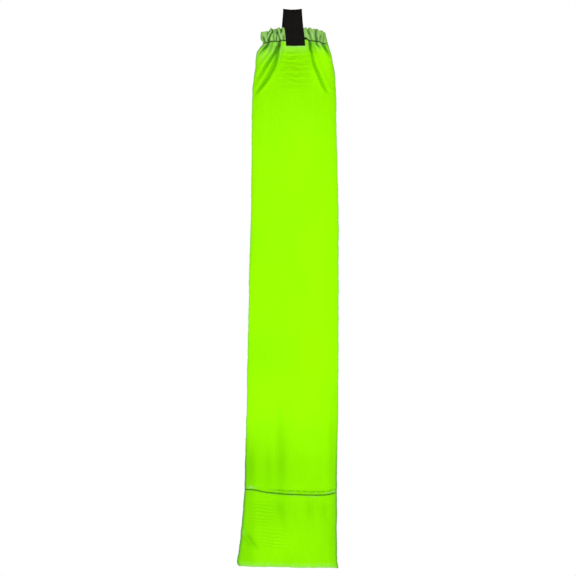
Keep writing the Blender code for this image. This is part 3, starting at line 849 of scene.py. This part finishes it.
def webbing_material():
    m, nt, bsdf = new_material("Black_Webbing")
    k = Nodes(nt)
    here = k.coords()
    ribs = k.wave(here, bands(1.55), "X")
    picks = k.wave(here, 2 * bands(1.4), "DIAGONAL", 0.6)
    weave = k.value("ADD", k.value("MULTIPLY", ribs, 0.55), k.value("MULTIPLY", picks, 0.45))
    dust = k.noise(here, 260.0, 3.0, 0.6)
    colour = k.mix(k.range(weave, 0.1, 0.9, 0.0, 1.0), (0.0042, 0.0034, 0.0032, 1), (0.0100, 0.0082, 0.0078, 1))
    colour = k.mix(k.range(dust, 0.55, 0.8, 0.0, 0.25), colour, (0.016, 0.0135, 0.013, 1))
    k.feed(bsdf.inputs["Base Color"], colour)
    k.feed(bsdf.inputs["Roughness"], k.range(weave, 0.0, 1.0, 0.92, 0.72))
    bsdf.inputs["Specular IOR Level"].default_value = 0.06
    bump = nt.nodes.new("ShaderNodeBump")
    bump.inputs["Strength"].default_value = 0.6
    bump.inputs["Distance"].default_value = 0.0003
    k.feed(bump.inputs["Height"], weave)
    nt.links.new(bump.outputs["Normal"], bsdf.inputs["Normal"])
    return m


def thread_material(name, light, dark):
    m, nt, bsdf = new_material(name)
    k = Nodes(nt)
    ply = k.wave(k.coords(), 2 * bands(0.9), "DIAGONAL")
    k.feed(bsdf.inputs["Base Color"], k.mix(ply, (*dark, 1), (*light, 1)))
    k.feed(bsdf.inputs["Roughness"], k.range(ply, 0.0, 1.0, 0.7, 0.5))
    bsdf.inputs["Specular IOR Level"].default_value = 0.08
    return m


def elastic_material():
    m, nt, bsdf = new_material("White_Elastic")
    k = Nodes(nt)
    here = k.coords()
    braid = k.wave(here, bands(0.9), "Z")
    cross = k.wave(here, 2 * bands(1.2), "DIAGONAL")
    pattern = k.value("MULTIPLY", braid, cross)
    k.feed(bsdf.inputs["Base Color"], k.mix(pattern, (0.55, 0.55, 0.52, 1), (0.8, 0.8, 0.77, 1)))
    k.feed(bsdf.inputs["Roughness"], k.range(pattern, 0, 1, 0.85, 0.65))
    bump = nt.nodes.new("ShaderNodeBump")
    bump.inputs["Distance"].default_value = 0.0003
    k.feed(bump.inputs["Height"], pattern)
    nt.links.new(bump.outputs["Normal"], bsdf.inputs["Normal"])
    return m


# ------------------------------------------------------------------ build the cloth
NYLON = nylon_material()
front, PF, U, ROWS = panel_mesh("front_panel_cloth", False)
back, PB, _, _ = panel_mesh("back_panel_cloth", True)
for piece in (front, back):
    piece.data.materials.append(NYLON)
SF, SB = Surface(PF, ROWS), Surface(PB, ROWS)


# ------------------------------------------------------------------ the strap
def strap_line():
    """The webbing's centre line from the front leg's end, over the top and down
    the back, as (x of its middle, y, z)."""
    pts = []
    lead = STRAP_T / 2 + 0.14
    front_x = curve_through((-47.3, -40, -30, -22, -10, 0), (4.1, 3.6, 2.6, 1.6, 0.5, 0.0))
    back_x = curve_through((-46.0, -40, -30, -22, -10, 0), (-2.4, -2.2, -1.9, -1.6, -0.6, 0.0))
    top_r = 4.35 + STRAP_T / 2
    top_c = -4.35
    for z in np.linspace(-47.2, -27.0, 30):
        y = min(SF.y(front_x(z) + o, z) for o in np.linspace(-11, 11, 9)) - lead
        pts.append([float(front_x(z)), y, z])
    hold = pts[-1][1]
    for t in np.linspace(0, 1, 17)[1:]:
        z = -27.0 + (top_c + 27.0) * t
        y = hold + (-top_r - hold) * smooth(t)
        pts.append([float(front_x(z)), float(y), z])
    for a in np.linspace(math.pi, 0, 21)[1:-1]:
        pts.append([0.0, top_r * math.cos(a), top_c + top_r * math.sin(a)])
    down = []
    for z in np.linspace(-46.2, -27.0, 29):
        y = max(SB.y(back_x(z) + o, z) for o in np.linspace(-11, 11, 9)) + lead
        down.append([float(back_x(z)), y, z])
    hold = down[-1][1]
    for t in np.linspace(0, 1, 17)[1:]:
        z = -27.0 + (top_c + 27.0) * t
        y = hold + (top_r - hold) * smooth(t)
        down.append([float(back_x(z)), float(y), z])
    pts += down[::-1]
    p = np.array(pts)
    # soften the line so that it bends like webbing
    for _ in range(6):
        q = p.copy()
        q[1:-1, 1] = (p[:-2, 1] + 2 * p[1:-1, 1] + p[2:, 1]) / 4
        q[1:-1, 0] = (p[:-2, 0] + 2 * p[1:-1, 0] + p[2:, 0]) / 4
        p = q
    return p


def strap_mesh():
    line = strap_line()
    # evenly spaced, about 0.6 mm apart
    seg = np.linalg.norm(np.diff(line, axis=0), axis=1)
    s = np.concatenate([[0], np.cumsum(seg)])
    n = int(s[-1] / 0.62)
    q = np.linspace(0, s[-1], n)
    c = np.stack([np.interp(q, s, line[:, k]) for k in range(3)], 1)
    t = np.gradient(c, axis=0)
    t[:, 0] = 0
    t /= np.linalg.norm(t, axis=1, keepdims=True)
    normal = np.stack([np.zeros(n), -t[:, 2], t[:, 1]], 1)
    # outward is away from the inside of the loop
    if normal[n // 2, 2] < 0:
        normal = -normal
    across = 30
    ring = []
    w, h = STRAP_W / 2, STRAP_T / 2
    for i in range(across + 1):
        v = -1 + 2 * i / across
        x = w * v
        # flat face with rolled selvedges
        e = max(0.0, (abs(v) - 0.93) / 0.07)
        ring.append((x - math.copysign(0.12, v) * e, h * math.sqrt(max(0.0, 1 - 0.86 * e**2))))
    profile = [(x, y) for x, y in ring] + [(x, -y) for x, y in reversed(ring)]
    m = len(profile)
    verts = np.zeros((n, m, 3))
    for i in range(n):
        high = c[i, 2]
        top = smooth((high + 9.0) / 9.0)
        for j, (x, y) in enumerate(profile):
            v = x / w
            ribs = 0.05 * math.cos(x * 2 * math.pi / 1.55) * (1 if y > 0 else -1)
            thick = y + ribs * (abs(v) < 0.94)
            sag = -1.15 * top * (1 - v * v)  # the top fold dips in the middle
            p = c[i] + normal[i] * thick
            verts[i, j] = (p[0] + x, p[1], p[2] + sag)
    # heat-cut ends are a little thinner and not quite straight
    for i, k in ((0, -1), (n - 1, -1)):
        for j, (x, y) in enumerate(profile):
            verts[i, j, 2] += 0.25 * math.sin(x * 0.5 + i) + 0.02 * x
            verts[i, j, 1] = c[i, 1] + (verts[i, j, 1] - c[i, 1]) * 0.8
    idx = np.arange(n * m).reshape(n, m)
    nxt = np.roll(idx, -1, axis=1)
    faces = np.stack([idx[:-1], nxt[:-1], nxt[1:], idx[1:]], -1).reshape(-1, 4).tolist()
    faces.append(idx[0].tolist()[::-1])
    faces.append(idx[-1].tolist())
    mesh = bpy.data.meshes.new("hanging_strap")
    mesh.from_pydata((verts.reshape(-1, 3) * MM).tolist(), [], faces)
    mesh.update()
    import bmesh

    bm = bmesh.new()
    bm.from_mesh(mesh)
    bmesh.ops.recalc_face_normals(bm, faces=bm.faces)
    bm.to_mesh(mesh)
    bm.free()
    mesh.shade_smooth()
    mesh.set_sharp_from_angle(angle=math.radians(50))
    obj = bpy.data.objects.new("hanging_strap", mesh)
    bpy.context.scene.collection.objects.link(obj)
    return obj, c


strap, STRAP_C = strap_mesh()
strap.data.materials.append(webbing_material())


def strap_face(z, back):
    """The outer y of the strap's leg at a height."""
    leg = STRAP_C[: len(STRAP_C) // 2] if not back else STRAP_C[len(STRAP_C) // 2 :]
    i = np.argmin(np.abs(leg[:, 2] - z))
    return leg[i, 1] + (STRAP_T / 2) * (1 if back else -1), leg[i, 0]


# ------------------------------------------------------------------ stitching
DARK = thread_material("Dark_Green_Thread", (0.026, 0.075, 0.024), (0.007, 0.028, 0.009))


def seam_line(surface, xs, line, back, over_strap):
    pts, nor = [], []
    sign = 1 if back else -1
    for x in xs:
        z = float(line(x))
        near = [surface.y(x + a, z + b) for a, b in ((0, 0), (0, 0.4), (0, -0.4))]
        y = (max(near) if back else min(near)) + sign * CLOTH_T / 2
        if over_strap:
            sy, sx = strap_face(z, back)
            if abs(x - sx) < STRAP_W / 2 - 0.4:
                y = sy
        pts.append((x, y, z))
        nor.append((0, sign, 0))
    return pts, nor


def mouth_stitches(back):
    surface = SB if back else SF
    z = -42.0
    lo, hi = float(left_of(z)) + 1.6, float(right_of(z)) - 1.6
    xs = np.linspace(lo, hi, 200)
    pts, nor = seam_line(surface, xs, mouth_seam, back, True)
    return tube_mesh(
        "mouth_stitches_" + ("back" if back else "front"),
        stitch_paths(pts, nor, 2.7, 0.38, 0.24, 0.3, 0.12, 11 if back else 5),
        0.34,
    )


def hem_stitches(back):
    surface = SB if back else SF
    lo, hi = float(left_of(-626)) + 0.8, float(right_of(-628)) - 0.8
    xs = np.linspace(lo, hi, 240)
    pts, nor = seam_line(surface, xs, hem_line, back, False)
    return tube_mesh(
        "hem_stitches_" + ("back" if back else "front"),
        stitch_paths(pts, nor, 3.3, 0.34, 0.30, 0.3, 0.14, 23 if back else 17),
        0.42,
    )


mouth_f, mouth_b = mouth_stitches(False), mouth_stitches(True)
hem_f, hem_b = hem_stitches(False), hem_stitches(True)


def side_stitches(side):
    """The overlock thread, whipped round the joined edges of the two panels."""
    col = 0 if side < 0 else -1
    edge = PF[:, col, :]
    stage = [r[0] for r in ROWS]
    first, last = stage.index("casing"), len(stage) - 1 - stage[::-1].index("hem")
    ez, ex = edge[first : last + 1, 2], edge[first : last + 1, 0]
    pitch, per_turn = 1.6, 9
    start = float(ez[0]) + 0.8
    count = int((start - float(ez[-1]) - 0.6) / pitch * per_turn)
    path = []
    for i in range(count):
        z = start - i * pitch / per_turn
        a = 2 * math.pi * i / per_turn
        x = float(np.interp(-z, -ez, ex))
        loose = 1 + 0.18 * math.sin(z * 0.9) * math.sin(z * 0.23 + 1.0)
        path.append((x + side * (-0.30 + 0.40 * math.cos(a) * loose), 0.36 * math.sin(a), z))
    return tube_mesh("side_seam_stitches_" + ("left" if side < 0 else "right"), [path], 0.15, 6)


side_l, side_r = side_stitches(-1), side_stitches(1)
GREEN = thread_material("Green_Thread", (0.055, 0.255, 0.006), (0.030, 0.16, 0.003))
OVERLOCK = thread_material("Green_Overlock_Thread", (0.13, 0.40, 0.03), (0.06, 0.22, 0.015))
BLACK = thread_material("Black_Thread", (0.010, 0.012, 0.009), (0.005, 0.006, 0.005))
for piece in (mouth_f, mouth_b):
    piece.data.materials.append(DARK)
    piece.data.materials.append(BLACK)
    middle = 3.5 if piece is mouth_f else -2.3
    for face in piece.data.polygons:
        if abs(face.center.x / MM - middle) < STRAP_W / 2 - 0.4:
            face.material_index = 1
for piece in (hem_f, hem_b):
    piece.data.materials.append(GREEN)
for piece in (side_l, side_r):
    piece.data.materials.append(OVERLOCK)


def thread_tails():
    """The knotted ends of the casing thread where it runs up to the strap."""
    paths = []
    for x0, z0, dx, size in ((16.5, -37.3, 1.0, 1.25), (-9.9, -40.1, -1.0, 0.62)):
        y0 = SF.y(x0, z0) - 0.7
        for turn in range(3):
            loop = []
            for i in range(14):
                a = 2 * math.pi * i / 13
                loop.append(
                    (
                        x0 + dx * size * (0.5 + 0.85 * math.cos(a + turn)),
                        y0 + size * 0.55 * math.sin(a * 2 + turn * 1.3),
                        z0 + size * (0.80 * math.sin(a + turn * 0.6) - 0.1 * turn),
                    )
                )
            paths.append(loop)
        paths.append(
            [
                (x0, y0, z0),
                (x0 + dx * size * 1.0, y0 - 0.2, z0 - 0.2 * size),
                (x0 + dx * size * 1.8, y0 - 0.1, z0 - 0.9 * size),
                (x0 + dx * size * 2.3, y0 + 0.1, z0 - 1.7 * size),
            ]
        )
    return tube_mesh("thread_ends", paths, 0.34, 6)


tails = thread_tails()
tails.data.materials.append(DARK)
tails.data.materials.append(BLACK)
for face in tails.data.polygons:
    if face.center.x > 0:
        face.material_index = 1


# ------------------------------------------------------------------ elastic
def elastic_mesh():
    """A ring of braided elastic between the two layers of the casing."""
    u = np.linspace(-1, 1, 150)
    u_in = u * 0.885
    rings = []
    for t in np.linspace(0.17, 0.86, 12):
        loop = []
        for backwards in (False, True):
            x0 = (left_of(-33.0) + right_of(-33.0)) / 2 + (right_of(-33.0) - left_of(-33.0)) / 2 * u_in
            z = (top_edge(x0) - CASING_IN / 2) * (1 - t) + mouth_seam(x0) * t
            x, y = section(u_in, z, backwards)
            d, _ = panel_fields(u_in, z, backwards)
            out = np.maximum(y + d - CASING_IN / 2, 0.40) * np.clip(1.02 - np.abs(u) ** 24, 0.02, 1)
            pts = np.stack([x, out * (1 if backwards else -1), z], 1)
            loop.append(pts if not backwards else pts[::-1])
        rings.append(np.concatenate(loop))
    R = np.array(rings)
    n, m = R.shape[:2]
    du = np.roll(R, -1, axis=1) - np.roll(R, 1, axis=1)
    dv = np.gradient(R, axis=0)
    N = np.cross(du, dv)
    N /= np.linalg.norm(N, axis=2, keepdims=True) + 1e-12
    half = 0.35
    verts = np.concatenate([(R + N * half).reshape(-1, 3), (R - N * half).reshape(-1, 3)]) * MM
    idx = np.arange(n * m).reshape(n, m)
    nxt = np.roll(idx, -1, axis=1)
    off = n * m
    outer = np.stack([idx[:-1], nxt[:-1], nxt[1:], idx[1:]], -1).reshape(-1, 4)
    inner = outer[:, ::-1] + off
    rim_a = np.stack([nxt[0], idx[0], idx[0] + off, nxt[0] + off], -1)
    rim_b = np.stack([idx[-1], nxt[-1], nxt[-1] + off, idx[-1] + off], -1)
    mesh = bpy.data.meshes.new("mouth_elastic")
    mesh.from_pydata(verts.tolist(), [], np.concatenate([outer, inner, rim_a, rim_b]).tolist())
    mesh.update()
    import bmesh

    bm = bmesh.new()
    bm.from_mesh(mesh)
    bmesh.ops.recalc_face_normals(bm, faces=bm.faces)
    bm.to_mesh(mesh)
    bm.free()
    mesh.shade_smooth()
    obj = bpy.data.objects.new("mouth_elastic", mesh)
    bpy.context.scene.collection.objects.link(obj)
    return obj


elastic = elastic_mesh()
elastic.data.materials.append(elastic_material())

# ------------------------------------------------------------------ onto the frame
for piece in (front, back, hem_f, hem_b, side_l, side_r):
    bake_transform(piece)
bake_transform(strap)
for piece in (mouth_f, mouth_b, tails, elastic):
    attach(piece, "sleeve")

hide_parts("front_panel", "tail_hem_front")
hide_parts("back_panel", "tail_hem_back")
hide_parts("webbing_loop", "webbing_tab_front", "webbing_tab_back")
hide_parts("elastic_band")
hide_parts("mouth_stitch_front")
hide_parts("mouth_stitch_back")
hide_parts("hem_stitch_front")
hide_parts("hem_stitch_back")
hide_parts("side_seam_left", "tail_seam_left")
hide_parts("side_seam_right", "tail_seam_right")

# ------------------------------------------------------------------ stage
scene = bpy.context.scene
scene.view_settings.view_transform = "Standard"
scene.view_settings.look = "None"
scene.view_settings.exposure = 0.0
scene.view_settings.gamma = 1.0

floor_mesh = bpy.data.meshes.new("studio_floor")
import bmesh

bm = bmesh.new()
bmesh.ops.create_cone(bm, cap_ends=True, segments=96, radius1=1.0, radius2=1.0, depth=0.012)
bm.to_mesh(floor_mesh)
bm.free()
floor = bpy.data.objects.new("studio_floor", floor_mesh)
floor.location = (0, -0.45, -0.80)
floor.scale = (1.3, 0.92, 1.0)
scene.collection.objects.link(floor)
fm, fnt, fb = new_material("Pale_Floor")
fb.inputs["Base Color"].default_value = (0.86, 0.86, 0.86, 1)
fb.inputs["Roughness"].default_value = 0.7
fb.inputs["Emission Color"].default_value = (1, 1, 1, 1)
fb.inputs["Emission Strength"].default_value = 0.52
floor_mesh.materials.append(fm)

world = bpy.data.worlds.new("Studio")
scene.world = world
world.use_nodes = True
wn = world.node_tree
wn.nodes.clear()
out = wn.nodes.new("ShaderNodeOutputWorld")
seen = wn.nodes.new("ShaderNodeBackground")
seen.inputs["Color"].default_value = (1, 1, 1, 1)
seen.inputs["Strength"].default_value = 1.0
lit = wn.nodes.new("ShaderNodeBackground")
lit.inputs["Color"].default_value = (1, 1, 1, 1)
lit.inputs["Strength"].default_value = 0.355
ray = wn.nodes.new("ShaderNodeLightPath")
pick = wn.nodes.new("ShaderNodeMixShader")
wn.links.new(ray.outputs["Is Camera Ray"], pick.inputs[0])
wn.links.new(lit.outputs[0], pick.inputs[1])
wn.links.new(seen.outputs[0], pick.inputs[2])
wn.links.new(pick.outputs[0], out.inputs["Surface"])


def area_light(name, location, target, size, power):
    data = bpy.data.lights.new(name, "AREA")
    data.shape = "DISK"
    data.size = size
    data.energy = power
    obj = bpy.data.objects.new(name, data)
    obj.location = location
    obj.rotation_mode = "QUATERNION"
    obj.rotation_quaternion = (Vector(target) - Vector(location)).to_track_quat("-Z", "Y")
    scene.collection.objects.link(obj)
    return obj


area_light("key_light", (-0.25, -1.75, 0.02), (0, 0, -0.36), 0.8, 14.2)
area_light("fill_light", (1.2, -1.6, -0.1), (0, 0, -0.36), 1.2, 4.4)
area_light("back_light", (0.6, 2.0, 0.25), (0, 0, -0.36), 1.0, 23.0)

# ------------------------------------------------------------------ camera
cam_data = bpy.data.cameras.new("camera")
cam_data.lens = 150.0
cam_data.sensor_width = 36.0
cam_data.clip_start, cam_data.clip_end = 0.05, 50.0
cam = bpy.data.objects.new("camera", cam_data)
VIEW_WIDE = 0.7488   # metres across the frame at the object
cam.location = (-0.00585, -VIEW_WIDE / 2 * cam_data.lens / 18.0, -0.3618)
cam.rotation_euler = (math.pi / 2, 0, 0)
scene.collection.objects.link(cam)
scene.camera = cam

bpy.context.view_layer.update()
